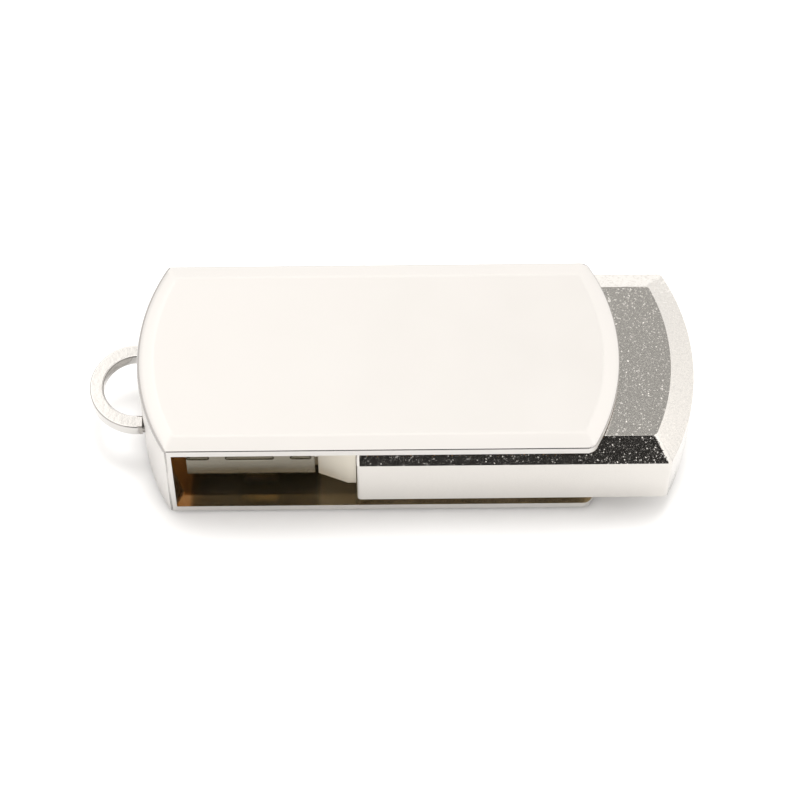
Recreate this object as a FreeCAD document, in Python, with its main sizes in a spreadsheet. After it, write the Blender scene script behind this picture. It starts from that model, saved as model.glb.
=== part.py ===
import FreeCAD, Part
import os
import Sketcher

# Swivel flash drive: a die-cast drive body turns between the two plates of a stamped sleeve.
# Frame: +X from the key loop towards the drive's rear, +Y across, +Z up.
# The origin is the bottom centre of the whole object's box, with the drive closed.

doc = FreeCAD.newDocument("flash_drive")

# ---- Driving dimensions, millimetres ------------------------------------------------------
DIMENSIONS = [
    ("mid_height", 4.8, "height of the drive's middle plane"),
    ("sleeve_left_corner", -15.95, "x of the closed end's corners"),
    ("sleeve_left_apex", -18.03, "x of the closed end's outermost point"),
    ("sleeve_right_corner", 14.19, "x of the open end's corners"),
    ("sleeve_right_apex", 16.27, "x of the open end's outermost point"),
    ("sleeve_half_width", 7.6, ""),
    ("sleeve_half_height", 4.5, "to the rim's outer face"),
    ("sleeve_sheet", 0.7, "sheet thickness"),
    ("sleeve_corner_radius", 0.45, ""),
    ("panel_rise", 0.3, "embossed panel above the rim"),
    ("panel_slope", 1.1, "plan width of the emboss's sloped border"),
    ("panel_side_margin", 0.08, "rim outside the slope, along the sides"),
    ("panel_end_margin", 0.2, "rim outside the slope, at the ends"),
    ("hollow_end_margin", 0.8, "the same inside, clear of the end wall"),
    ("hollow_side_margin", 0.15, "the same inside, along the sides"),
    ("loop_outer_radius", 3.42, ""),
    ("loop_band", 1.0, "radial width of the key loop"),
    ("loop_thickness", 1.05, ""),
    ("loop_centre", -18.26, "x of the key loop's centre"),
    ("loop_leg_end", -17.95, "x where the legs step down to their tenons"),
    ("loop_tenon_end", -16.85, "x of the riveted tenon ends"),
    ("loop_tenon_width", 0.6, ""),
    ("loop_tenon_height", 0.75, ""),
    ("loop_edge_radius", 0.2, ""),
    ("pivot_x", 8.62, "swivel axis"),
    ("stud_radius", 1.5, ""),
    ("stud_end_gap", 0.1, "stud end to the cavity roof"),
    ("stud_chamfer", 0.15, ""),
    ("bush_clearance", 0.05, "running clearance of the stud in its bush"),
    ("bush_barrel_radius", 2.1, ""),
    ("bush_flange_radius", 3.25, ""),
    ("bush_flange", 0.4, "flange thickness"),
    ("body_front", -2.53, ""),
    ("body_rear_corner", 19.71, ""),
    ("body_rear_apex", 21.68, ""),
    ("body_half_width", 7.8, ""),
    ("body_half_height", 3.6, ""),
    ("body_bevel_plan", 1.7, "bevel width in plan"),
    ("body_bevel_drop", 1.08, "bevel height"),
    ("body_corner_radius", 0.4, ""),
    ("cavity_half_width", 6.9, ""),
    ("cavity_half_height", 2.7, ""),
    ("cavity_corner", 0.9, "corner cut of the cavity"),
    ("cavity_rear", 18.9, ""),
    ("ledge_half_width", 6.3, "between the ledges that carry the board"),
    ("collar_front", -5.25, ""),
    ("collar_shoulder", -3.13, "x where the flare ends"),
    ("collar_seat", -1.3, "x of the end pressed into the body"),
    ("collar_front_half_width", 5.85, ""),
    ("collar_half_width", 6.65, ""),
    ("collar_front_half_height", 2.42, ""),
    ("collar_half_height", 2.5, ""),
    ("collar_edge_radius", 0.4, "long edges of the collar"),
    ("plug_tip", -14.63, ""),
    ("plug_step", -5.48, "x where the shell steps in to enter the collar"),
    ("plug_end", -0.9, ""),
    ("plug_half_width", 6.0, "standard plug"),
    ("plug_half_height", 2.25, "standard plug"),
    ("plug_corner_radius", 0.6, ""),
    ("plug_sheet", 0.3, ""),
    ("plug_rear_half_width", 5.5, ""),
    ("plug_rear_half_height", 1.95, ""),
    ("window_length", 2.3, "latch windows in the shell"),
    ("window_width", 2.4, ""),
    ("window_rear", -8.4, "x of the windows' rear edge"),
    ("window_offset", 3.1, "y of the windows' centres"),
    ("slot_height", 0.55, "side slots of the shell"),
    ("slot_low", 5.1, "z of the slots' lower edge"),
    ("slot_tip_end", -12.98, ""),
    ("slot_middle_start", -11.85, ""),
    ("slot_middle_end", -8.37, ""),
    ("slot_rear_start", -7.22, ""),
    ("slot_rear_end", -5.7, ""),
    ("seam_width", 0.08, "open seam along the shell's upper face"),
    ("tongue_gap", 0.02, "tongue to shell"),
    ("tongue_front", -14.4, ""),
    ("tongue_end", -0.5, ""),
    ("contact_pitch_outer", 3.5, ""),
    ("contact_pitch_inner", 1.0, ""),
    ("contact_width", 1.0, ""),
    ("contact_thickness", 0.2, ""),
    ("contact_front_outer", -13.6, ""),
    ("contact_front_inner", -12.6, ""),
    ("contact_end", 0.9, ""),
    ("solder_length", 0.6, ""),
    ("solder_height", 0.3, ""),
    ("board_front", -0.3, ""),
    ("board_rear", 18.6, ""),
    ("board_half_width", 6.8, ""),
    ("board_thickness", 0.8, ""),
    ("memory_front", 3.4, ""),
    ("memory_length", 13.0, ""),
    ("memory_width", 11.5, ""),
    ("memory_thickness", 1.0, ""),
    ("ball_radius", 0.2, ""),
    ("ball_height", 0.25, ""),
    ("ball_pitch", 1.0, ""),
    ("controller_front", 3.6, ""),
    ("controller_side", 7.0, ""),
    ("controller_thickness", 1.4, ""),
    ("controller_gap", 0.1, "package to board"),
    ("lead_width", 0.22, ""),
    ("lead_pitch", 0.5, ""),
    ("lead_reach", 0.9, ""),
    ("lead_height", 0.5, ""),
    ("crystal_front", 13.2, "x of the crystal and the regulator"),
    ("capacitor_front", 16.4, ""),
    ("capacitor_side", -4.4, "y where the row of capacitors starts"),
    ("capacitor_pitch", 1.6, ""),
    ("capacitor_height", 0.55, ""),
    ("resistor_side", -3.5, "y where the row of resistors starts"),
    ("resistor_pitch", 1.7, ""),
    ("resistor_height", 0.35, ""),
    ("chip_length", 1.0, "footprint of every chip part"),
    ("chip_width", 0.5, ""),
    ("crystal_side", -4.6, ""),
    ("crystal_length", 2.5, ""),
    ("crystal_width", 3.2, ""),
    ("crystal_height", 0.9, ""),
    ("regulator_side", 0.6, ""),
    ("regulator_length", 1.6, ""),
    ("regulator_width", 2.9, ""),
    ("regulator_height", 1.1, ""),
    ("resistor_front", 1.2, ""),
    ("insulator_thickness", 0.15, ""),
    ("insulator_gap", 0.05, "adhesive between film and wall"),
    ("insulator_front", 1.2, ""),
    ("insulator_rear", 18.4, ""),
    ("insulator_half_width", 5.4, ""),
]

dims = doc.addObject("Spreadsheet::Sheet", "dims")
for row, (alias, number, note) in enumerate(DIMENSIONS, start=1):
    dims.set(f"A{row}", alias)
    dims.set(f"B{row}", str(number))
    dims.setAlias(f"B{row}", alias)
    dims.set(f"C{row}", note)
doc.recompute()

SUB_PARTS = []


def value(expression):
    """Number that an expression over the sheet comes to."""
    result = dims.evalExpression(expression.replace("dims.", ""))
    return float(getattr(result, "Value", result))


def bind(obj, **expressions):
    """Bind properties to expressions; a double underscore in a name stands for a dot."""
    for prop, expression in expressions.items():
        obj.setExpression(prop.replace("__", "."), expression)


# ---- Sketch helpers ------------------------------------------------------------------------
def new_body(label):
    body = doc.addObject("PartDesign::Body", label)
    body.Label = label
    SUB_PARTS.append(body)
    return body


def new_sketch(body, name, role, offset="0"):
    """Sketch on one of the body's own origin planes, moved along its normal by offset."""
    sketch = body.newObject("Sketcher::SketchObject", name)
    plane = [f for f in body.Origin.OriginFeatures if f.Role == role][0]
    sketch.AttachmentSupport = [(plane, "")]
    sketch.MapMode = "FlatFace"
    sketch.setExpression("AttachmentOffset.Base.z", offset)
    return sketch


def hold(sketch, kind, geometry, end, expression):
    """DistanceX or DistanceY from the sketch's origin to one end of an element, or its centre."""
    constraint = Sketcher.Constraint(kind, -1, 1, geometry, end, value(expression))
    sketch.setExpression(f"Constraints[{sketch.addConstraint(constraint)}]", expression)


def pin_point(sketch, geometry, end, x, y):
    hold(sketch, "DistanceX", geometry, end, x)
    hold(sketch, "DistanceY", geometry, end, y)


def outline(sketch, corners, apexes=None):
    """Closed outline through corners, counter-clockwise; apexes gives a side's arc apex x."""
    apexes = apexes or {}
    places = [FreeCAD.Vector(value(x), value(y), 0) for x, y in corners]
    sides = []
    for i, start in enumerate(places):
        end = places[(i + 1) % len(places)]
        if i in apexes:
            apex = FreeCAD.Vector(value(apexes[i]), 0, 0)
            arc = Part.Arc(start, apex, end)
            sides.append(sketch.addGeometry(arc, False))
            bow = f"({apexes[i]} - ({corners[i][0]}))"
            centre_x = f"{apexes[i]} - ({bow}^2 + ({corners[i][1]})^2) / (2 * {bow})"
            hold(sketch, "DistanceX", sides[-1], 3, centre_x)
        else:
            sides.append(sketch.addGeometry(Part.LineSegment(start, end), False))
    for i, side in enumerate(sides):
        following = sides[(i + 1) % len(sides)]
        sketch.addConstraint(Sketcher.Constraint("Coincident", side, 2, following, 1))
        pin_point(sketch, side, 1, *corners[i])


def rectangle(sketch, low_x, high_x, low_y, high_y):
    outline(sketch, [(low_x, low_y), (high_x, low_y), (high_x, high_y), (low_x, high_y)])


def circle(sketch, x, y, radius):
    centre = FreeCAD.Vector(value(x), value(y), 0)
    ring = sketch.addGeometry(Part.Circle(centre, FreeCAD.Vector(0, 0, 1), value(radius)), False)
    index = sketch.addConstraint(Sketcher.Constraint("Radius", ring, value(radius)))
    sketch.setExpression(f"Constraints[{index}]", radius)
    pin_point(sketch, ring, 3, x, y)


# ---- Feature helpers -----------------------------------------------------------------------
def pad(sketch, length, taper="0", towards_minus=False, midplane=False):
    body = sketch.getParentGeoFeatureGroup()
    feature = body.newObject("PartDesign::Pad", sketch.Name + "_pad")
    feature.Profile = sketch
    feature.Reversed = towards_minus
    feature.SideType = "Symmetric" if midplane else "One side"
    bind(feature, Length=length, TaperAngle=taper)
    doc.recompute()
    return feature


def pocket(sketch, length, taper="0", towards_minus=False, midplane=False):
    """Cut along the plane's normal, or against it, and make sure that something was cut."""
    body = sketch.getParentGeoFeatureGroup()
    before = body.Shape.Volume
    feature = body.newObject("PartDesign::Pocket", sketch.Name + "_pocket")
    feature.Profile = sketch
    feature.Reversed = not towards_minus
    feature.SideType = "Symmetric" if midplane else "One side"
    bind(feature, Length=length, TaperAngle=taper)
    doc.recompute()
    if body.Shape.Volume >= before - 1e-6:
        raise RuntimeError(f"{feature.Name} cut nothing")
    return feature


def edges_where(body, test):
    """Names of the body's edges whose both ends and middle pass the test."""
    names = []
    for number, edge in enumerate(body.Shape.Edges, start=1):
        middle = edge.valueAt((edge.FirstParameter + edge.LastParameter) / 2)
        points = [vertex.Point for vertex in edge.Vertexes] + [middle]
        if all(test(point) for point in points):
            names.append(f"Edge{number}")
    return names


def fillet(body, name, radius, test):
    edges = edges_where(body, test)
    base = body.Tip
    feature = body.newObject("PartDesign::Fillet", name)
    feature.Base = (base, edges)
    bind(feature, Radius=radius)
    doc.recompute()
    return feature


def chamfer(body, name, size, test, second_size=None, flip=False):
    edges = edges_where(body, test)
    base = body.Tip
    feature = body.newObject("PartDesign::Chamfer", name)
    feature.Base = (base, edges)
    if second_size:
        feature.ChamferType = "Two distances"
        feature.FlipDirection = flip
        bind(feature, Size=size, Size2=second_size)
    else:
        bind(feature, Size=size)
    doc.recompute()
    return feature


def near(number, expression, tolerance=1e-3):
    return abs(number - value(expression)) < tolerance


def place(obj, x="0", y="0", z="0"):
    bind(obj, Placement__Base__x=x, Placement__Base__y=y, Placement__Base__z=z)


def box(name, low_x, low_y, low_z, length, width, height):
    """Part::Box with its low corner and sizes given as expressions."""
    block = doc.addObject("Part::Box", name)
    bind(block, Length=length, Width=width, Height=height)
    place(block, low_x, low_y, low_z)
    return block


def add_box(label, *expressions):
    block = box(label, *expressions)
    block.Label = label
    SUB_PARTS.append(block)
    return block


def group(label, members):
    """Several separate solids kept as one sub-part."""
    compound = doc.addObject("Part::Compound", label)
    compound.Label = label
    compound.Links = members
    SUB_PARTS.append(compound)
    return compound


# ---- Sleeve and what is fixed to it --------------------------------------------------------
def barrel_corners(inset_end, inset_side):
    """Outline of a sleeve plate: straight sides and bowed ends, moved inwards by the insets."""
    left = f"dims.sleeve_left_corner + {inset_end}"
    right = f"dims.sleeve_right_corner - {inset_end}"
    half = f"dims.sleeve_half_width - {inset_side}"
    corners = [(left, f"-({half})"), (right, f"-({half})"), (right, half), (left, half)]
    apexes = {1: f"dims.sleeve_right_apex - {inset_end}", 3: f"dims.sleeve_left_apex + {inset_end}"}
    return corners, apexes


def make_sleeve():
    body = new_body("swivel_sleeve")
    block = new_sketch(body, "plate_outline", "XY_Plane", "dims.mid_height - dims.sleeve_half_height")
    outline(block, *barrel_corners("0", "0"))
    pad(block, "2 * dims.sleeve_half_height")
    half_width = value("dims.sleeve_half_width")
    fillet(body, "plate_corners", "dims.sleeve_corner_radius",
           lambda p: abs(abs(p.y) - half_width) < 1e-3
           and (near(p.x, "dims.sleeve_left_corner") or near(p.x, "dims.sleeve_right_corner")))

    # The panels: the emboss tapers to its full height over the slope's width.
    margin_end = "(dims.panel_end_margin + dims.panel_slope)"
    margin_side = "(dims.panel_side_margin + dims.panel_slope)"
    slope = "atan(dims.panel_slope / dims.panel_rise)"
    for name, sign in (("upper", "+"), ("lower", "-")):
        height = f"dims.mid_height {sign} (dims.sleeve_half_height + dims.panel_rise)"
        panel = new_sketch(body, f"{name}_panel", "XY_Plane", height)
        outline(panel, *barrel_corners(margin_end, margin_side))
        pad(panel, "dims.panel_rise", taper=slope, towards_minus=(sign == "+"))

    # The space between the plates is open along both sides and at the rear.
    inside_half_height = "(dims.sleeve_half_height - dims.sleeve_sheet)"
    space = new_sketch(body, "drive_space", "XY_Plane", "dims.mid_height")
    left = "dims.sleeve_left_corner + dims.sleeve_sheet"
    beyond = "dims.sleeve_right_apex + 5"
    past = "(dims.sleeve_half_width + 1)"
    apex = "dims.sleeve_left_apex + dims.sleeve_sheet"
    outline(space, [(left, f"-{past}"), (beyond, f"-{past}"), (beyond, past), (left, past)], {3: apex})
    pocket(space, f"2 * {inside_half_height}", midplane=True)
    for name, sign in (("upper", "+"), ("lower", "-")):
        height = f"dims.mid_height {sign} (dims.sleeve_half_height - dims.sleeve_sheet)"
        hollow = new_sketch(body, f"{name}_panel_hollow", "XY_Plane", height)
        outline(hollow, *barrel_corners("dims.hollow_end_margin", "dims.hollow_side_margin"))
        pocket(hollow, "dims.panel_rise", taper=f"-{slope}", towards_minus=(sign == "-"))

    # Holes in the closed end for the key loop's tenons.
    tenons = new_sketch(body, "tenon_holes", "YZ_Plane", "dims.sleeve_left_apex - 1")
    tenon_outlines(tenons)
    pocket(tenons, "3")
    return body


def tenon_outlines(sketch):
    """Cross-sections of the two tenons, in a sketch on the YZ plane."""
    centre = "(dims.loop_outer_radius - dims.loop_band / 2)"
    half = "dims.loop_tenon_width / 2"
    tall = "dims.loop_tenon_height / 2"
    for sign in ("", "-"):
        middle = f"{sign}{centre}"
        rectangle(sketch, f"{middle} - {half}", f"{middle} + {half}",
                  f"dims.mid_height - {tall}", f"dims.mid_height + {tall}")


def make_key_loop():
    body = new_body("key_loop")
    ring = new_sketch(body, "loop_outer", "XY_Plane", "dims.mid_height")
    outer = "dims.loop_outer_radius"
    inner = "(dims.loop_outer_radius - dims.loop_band)"
    legs_end = "dims.loop_leg_end"
    loop_side(ring, outer, legs_end)
    pad(ring, "dims.loop_thickness", midplane=True)
    hole = new_sketch(body, "loop_inner", "XY_Plane", "dims.mid_height")
    loop_side(hole, inner, "dims.loop_leg_end + 1")
    pocket(hole, "dims.loop_thickness + 1", midplane=True)
    half = value("dims.loop_thickness / 2")
    fillet(body, "loop_edges", "dims.loop_edge_radius",
           lambda p: abs(abs(p.z - value("dims.mid_height")) - half) < 1e-3)
    tenons = new_sketch(body, "loop_tenons", "YZ_Plane", f"{legs_end} - 0.2")
    tenon_outlines(tenons)
    pad(tenons, f"dims.loop_tenon_end - {legs_end} + 0.2")
    return body


def loop_side(sketch, radius, end):
    """A half round of the given radius on the loop's centre, with straight legs to end."""
    corners = [("dims.loop_centre", f"-{radius}"), (end, f"-{radius}"), (end, radius),
               ("dims.loop_centre", radius)]
    outline(sketch, corners, {3: f"dims.loop_centre - {radius}"})


def make_pivot_studs():
    """Blind studs welded inside the plates, pointing at each other."""
    length = ("dims.sleeve_half_height + dims.panel_rise - dims.sleeve_sheet"
              " - dims.cavity_half_height - dims.stud_end_gap")
    for label, flip in (("upper_pivot_stud", True), ("lower_pivot_stud", False)):
        body = new_body(label)
        section = new_sketch(body, label + "_section", "XY_Plane")
        circle(section, "0", "0", "dims.stud_radius")
        pad(section, length)
        chamfer(body, label + "_tip", "dims.stud_chamfer", lambda p: near(p.z, length))
        set_on_axis(body, "dims.sleeve_half_height + dims.panel_rise - dims.sleeve_sheet", flip)


def set_on_axis(body, distance, flip):
    """Put a body built up from its own origin on the swivel axis, upside down when flipped."""
    if flip:
        body.Placement = FreeCAD.Placement(FreeCAD.Vector(), FreeCAD.Rotation(FreeCAD.Vector(1, 0, 0), 180))
    sign = "+" if flip else "-"
    place(body, "dims.pivot_x", "0", f"dims.mid_height {sign} ({distance})")


def make_pivot_bushes():
    """Flanged bushes pressed into the drive body; their flanges keep it off the plates."""
    wall = "(dims.body_half_height - dims.cavity_half_height)"
    bore = "(dims.stud_radius + dims.bush_clearance)"
    flange = "dims.bush_flange"
    for label, flip in (("upper_pivot_bush", True), ("lower_pivot_bush", False)):
        body = new_body(label)
        section = new_sketch(body, label + "_section", "XZ_Plane")
        outline(section, [(bore, "0"), ("dims.bush_flange_radius", "0"),
                          ("dims.bush_flange_radius", flange), ("dims.bush_barrel_radius", flange),
                          ("dims.bush_barrel_radius", f"{flange} + {wall}"), (bore, f"{flange} + {wall}")])
        turned = body.newObject("PartDesign::Revolution", label + "_turned")
        turned.Profile = section
        turned.ReferenceAxis = (section, ["V_Axis"])
        turned.Angle = 360
        doc.recompute()
        set_on_axis(body, f"dims.body_half_height + {flange}", flip)


# ---- Drive body ----------------------------------------------------------------------------
def make_body_shell():
    body = new_body("body_shell")
    half = "dims.body_half_width"
    side_half_height = "(dims.body_half_height - dims.body_bevel_drop)"
    slope = "atan(dims.body_bevel_plan / dims.body_bevel_drop)"
    spare = "(dims.body_front - 2 * dims.body_bevel_plan)"
    corners = [(spare, f"-{half}"), ("dims.body_rear_corner", f"-{half}"),
               ("dims.body_rear_corner", half), (spare, half)]
    plan = new_sketch(body, "shell_plan", "XY_Plane", "dims.mid_height")
    outline(plan, corners, {1: "dims.body_rear_apex"})
    pad(plan, f"2 * {side_half_height}", midplane=True)
    for name, sign in (("upper", "+"), ("lower", "-")):
        bevel = new_sketch(body, f"shell_{name}_bevel", "XY_Plane",
                           f"dims.mid_height {sign} {side_half_height}")
        outline(bevel, corners, {1: "dims.body_rear_apex"})
        pad(bevel, "dims.body_bevel_drop", taper=f"-{slope}", towards_minus=(sign == "-"))

    # The bevels run out through the flat front, so the spare length is cut away.
    front = new_sketch(body, "shell_front", "XY_Plane", "dims.mid_height")
    rectangle(front, f"{spare} - 1", "dims.body_front", f"-{half} - 1", f"{half} + 1")
    pocket(front, "2 * dims.body_half_height + 1", midplane=True)
    corner_x = value("dims.body_rear_corner - dims.body_bevel_plan")
    corner_y = value("dims.body_half_width - dims.body_bevel_plan") - 0.01
    fillet(body, "shell_corners", "dims.body_corner_radius",
           lambda p: p.x > corner_x and abs(p.y) > corner_y)

    # The cavity: cut corners above and below, and a ledge along each side over the board.
    wide = "dims.cavity_half_width"
    ledge = "dims.ledge_half_width"
    roof = "dims.mid_height + dims.cavity_half_height"
    floor = "dims.mid_height - dims.cavity_half_height"
    shelf = "dims.mid_height + dims.board_thickness"
    cut = "dims.cavity_corner"
    right = [(f"{wide} - {cut}", floor), (wide, f"{floor} + {cut}"), (wide, shelf), (ledge, shelf),
             (ledge, f"{roof} - {cut}"), (f"{ledge} - {cut}", roof)]
    left = [(f"-({y})", z) for y, z in reversed(right)]
    cavity = new_sketch(body, "shell_cavity", "YZ_Plane", "dims.body_front")
    outline(cavity, right + left)
    pocket(cavity, "dims.cavity_rear - dims.body_front")

    # The mouth takes the collar's seat.
    mouth = new_sketch(body, "shell_mouth", "YZ_Plane", "dims.body_front")
    rectangle(mouth, "-dims.collar_half_width", "dims.collar_half_width",
              "dims.mid_height - dims.collar_half_height", "dims.mid_height + dims.collar_half_height")
    pocket(mouth, "dims.collar_seat - dims.body_front")

    pivot = new_sketch(body, "shell_pivot_holes", "XY_Plane", "dims.mid_height")
    circle(pivot, "dims.pivot_x", "0", "dims.bush_barrel_radius")
    pocket(pivot, "2 * dims.body_half_height + 1", midplane=True)
    return body


def make_front_collar():
    """Flared ring that closes the body's mouth round the plug."""
    body = new_body("front_collar")
    wide = "dims.collar_half_width"
    small = "dims.collar_front_half_width"
    plan = new_sketch(body, "collar_plan", "XY_Plane", "dims.mid_height")
    outline(plan, [("dims.collar_front", f"-{small}"), ("dims.collar_shoulder", f"-{wide}"),
                   ("dims.collar_seat", f"-{wide}"), ("dims.collar_seat", wide),
                   ("dims.collar_shoulder", wide), ("dims.collar_front", small)])
    pad(plan, "2 * dims.collar_half_height", midplane=True)

    # The flare narrows in height too: a wedge comes off above and below.
    tall = "dims.collar_half_height"
    low = "dims.collar_front_half_height"
    for name, sign in (("upper", "+"), ("lower", "-")):
        wedge = new_sketch(body, f"collar_{name}_wedge", "XZ_Plane")
        corners = [("dims.collar_front", f"dims.mid_height {sign} {low}"),
                   ("dims.collar_shoulder", f"dims.mid_height {sign} {tall}"),
                   ("dims.collar_shoulder", f"dims.mid_height {sign} 2 * {tall}"),
                   ("dims.collar_front", f"dims.mid_height {sign} 2 * {tall}")]
        outline(wedge, corners if sign == "+" else corners[::-1])
        pocket(wedge, "4 * dims.collar_half_width", midplane=True)

    edge_y = value(small)
    edge_z = value(low)
    middle = value("dims.mid_height")
    fillet(body, "collar_long_edges", "dims.collar_edge_radius",
           lambda p: abs(p.y) > edge_y - 1e-3 and abs(p.z - middle) > edge_z - 1e-3)

    bore = new_sketch(body, "collar_bore", "YZ_Plane", "dims.collar_front - 1")
    rectangle(bore, "-dims.plug_rear_half_width", "dims.plug_rear_half_width",
              "dims.mid_height - dims.plug_rear_half_height", "dims.mid_height + dims.plug_rear_half_height")
    pocket(bore, "dims.collar_seat - dims.collar_front + 2")
    return body


# ---- Plug ----------------------------------------------------------------------------------
def section_rectangle(sketch, half_width, half_height):
    """Rectangle about the drive's middle line, in a sketch on the YZ plane."""
    rectangle(sketch, f"-({half_width})", half_width,
              f"dims.mid_height - ({half_height})", f"dims.mid_height + ({half_height})")


def make_plug_shell():
    body = new_body("plug_shell")
    front = new_sketch(body, "plug_front_section", "YZ_Plane", "dims.plug_tip")
    section_rectangle(front, "dims.plug_half_width", "dims.plug_half_height")
    pad(front, "dims.plug_step - dims.plug_tip")
    wide = value("dims.plug_half_width")
    tall = value("dims.plug_half_height")
    middle = value("dims.mid_height")
    fillet(body, "plug_long_edges", "dims.plug_corner_radius",
           lambda p: abs(abs(p.y) - wide) < 1e-3 and abs(abs(p.z - middle) - tall) < 1e-3)
    rear = new_sketch(body, "plug_rear_section", "YZ_Plane", "dims.plug_step")
    section_rectangle(rear, "dims.plug_rear_half_width", "dims.plug_rear_half_height")
    pad(rear, "dims.plug_end - dims.plug_step")
    hollow = new_sketch(body, "plug_front_hollow", "YZ_Plane", "dims.plug_tip")
    section_rectangle(hollow, "dims.plug_half_width - dims.plug_sheet",
                      "dims.plug_half_height - dims.plug_sheet")
    pocket(hollow, "dims.plug_step - dims.plug_tip - dims.plug_sheet")
    bore = new_sketch(body, "plug_rear_hollow", "YZ_Plane", "dims.plug_tip")
    section_rectangle(bore, "dims.plug_rear_half_width - dims.plug_sheet",
                      "dims.plug_rear_half_height - dims.plug_sheet")
    pocket(bore, "dims.plug_end - dims.plug_tip + 1")

    windows = new_sketch(body, "latch_windows", "XY_Plane", "dims.mid_height")
    for sign in ("", "-"):
        centre = f"{sign}dims.window_offset"
        rectangle(windows, "dims.window_rear - dims.window_length", "dims.window_rear",
                  f"{centre} - dims.window_width / 2", f"{centre} + dims.window_width / 2")
    pocket(windows, "2 * dims.plug_half_height + 1", midplane=True)

    slots = new_sketch(body, "side_slots", "XZ_Plane")
    high = "dims.slot_low + dims.slot_height"
    rectangle(slots, "dims.slot_middle_start", "dims.slot_middle_end", "dims.slot_low", high)
    rectangle(slots, "dims.slot_rear_start", "dims.slot_rear_end", "dims.slot_low", high)
    rectangle(slots, "dims.plug_tip - 1", "dims.slot_tip_end", "dims.slot_low", high)
    pocket(slots, "2 * dims.plug_half_width + 1", midplane=True)

    seam = new_sketch(body, "shell_seam", "XY_Plane", "dims.mid_height")
    rectangle(seam, "dims.plug_tip - 1", "dims.plug_step + 0.05",
              "-dims.seam_width / 2", "dims.seam_width / 2")
    pocket(seam, "dims.plug_half_height + 1")
    return body


def make_plug_tongue():
    """Moulded block in the upper half of the plug; the contacts lie along its underside."""
    body = new_body("plug_tongue")
    inset = "(dims.plug_sheet + dims.tongue_gap)"
    front = new_sketch(body, "tongue_front_section", "YZ_Plane", "dims.tongue_front")
    wide = f"dims.plug_half_width - {inset}"
    rectangle(front, f"-({wide})", wide, "dims.mid_height",
              f"dims.mid_height + dims.plug_half_height - {inset}")
    pad(front, f"dims.plug_step - {inset} - dims.tongue_front")
    rear = new_sketch(body, "tongue_rear_section", "YZ_Plane", f"dims.plug_step - {inset}")
    wide = f"dims.plug_rear_half_width - {inset}"
    rectangle(rear, f"-({wide})", wide, "dims.mid_height",
              f"dims.mid_height + dims.plug_rear_half_height - {inset}")
    pad(rear, f"dims.tongue_end - dims.plug_step + {inset}")
    return body


def make_contacts():
    """Four flat contacts; the two outer ones reach further forward and meet first."""
    rows = (("contact_power", "-dims.contact_pitch_outer", "dims.contact_front_outer"),
            ("contact_data_minus", "-dims.contact_pitch_inner", "dims.contact_front_inner"),
            ("contact_data_plus", "dims.contact_pitch_inner", "dims.contact_front_inner"),
            ("contact_ground", "dims.contact_pitch_outer", "dims.contact_front_outer"))
    joints = []
    for label, centre, front in rows:
        add_box(label, front, f"{centre} - dims.contact_width / 2",
                "dims.mid_height - dims.contact_thickness", f"dims.contact_end - {front}",
                "dims.contact_width", "dims.contact_thickness")
        joints.append(box(f"{label}_solder", "dims.contact_end", f"{centre} - dims.contact_width / 2",
                          "dims.mid_height - dims.solder_height", "dims.solder_length",
                          "dims.contact_width", "dims.solder_height"))
    group("contact_solder_joints", joints)


# ---- Electronics ---------------------------------------------------------------------------
def make_board():
    add_box("circuit_board", "dims.board_front", "-dims.board_half_width",
            "dims.mid_height", "dims.board_rear - dims.board_front",
            "2 * dims.board_half_width", "dims.board_thickness")


def make_memory():
    """Memory package on the board's lower face, on rows of solder balls."""
    add_box("memory_chip", "dims.memory_front", "-dims.memory_width / 2",
            "dims.mid_height - dims.ball_height - dims.memory_thickness", "dims.memory_length",
            "dims.memory_width", "dims.memory_thickness")
    balls = []
    columns, rows = 12, 10
    for column in range(columns):
        for row in range(rows):
            if 2 < column < columns - 3 and 2 < row < rows - 3:
                continue
            ball = doc.addObject("Part::Cylinder", f"ball_{column}_{row}")
            bind(ball, Radius="dims.ball_radius", Height="dims.ball_height")
            along = column - (columns - 1) / 2
            place(ball, f"dims.memory_front + dims.memory_length / 2 + {along} * dims.ball_pitch",
                  f"{row - (rows - 1) / 2} * dims.ball_pitch", "dims.mid_height - dims.ball_height")
            balls.append(ball)
    group("memory_solder_balls", balls)


def make_controller():
    """Controller package on the board's upper face, with leads on all four sides."""
    upper_face = "dims.mid_height + dims.board_thickness"
    side = "dims.controller_side"
    add_box("controller_chip", "dims.controller_front", f"-{side} / 2",
            f"{upper_face} + dims.controller_gap", side, side,
            "dims.controller_thickness")
    leads = []
    per_side = 11
    for number in range(per_side):
        along = f"({number - (per_side - 1) / 2} * dims.lead_pitch - dims.lead_width / 2)"
        across = f"dims.controller_front + {side} / 2 + {along}"
        shape = ("dims.lead_reach", "dims.lead_width", "dims.lead_height")
        turned = ("dims.lead_width", "dims.lead_reach", "dims.lead_height")
        starts = (("front", "dims.controller_front - dims.lead_reach", along, shape),
                  ("rear", f"dims.controller_front + {side}", along, shape),
                  ("near", across, f"-{side} / 2 - dims.lead_reach", turned),
                  ("far", across, f"{side} / 2", turned))
        leads += [box(f"lead_{edge}_{number}", x, y, upper_face, *size) for edge, x, y, size in starts]
    group("controller_leads", leads)


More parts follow.
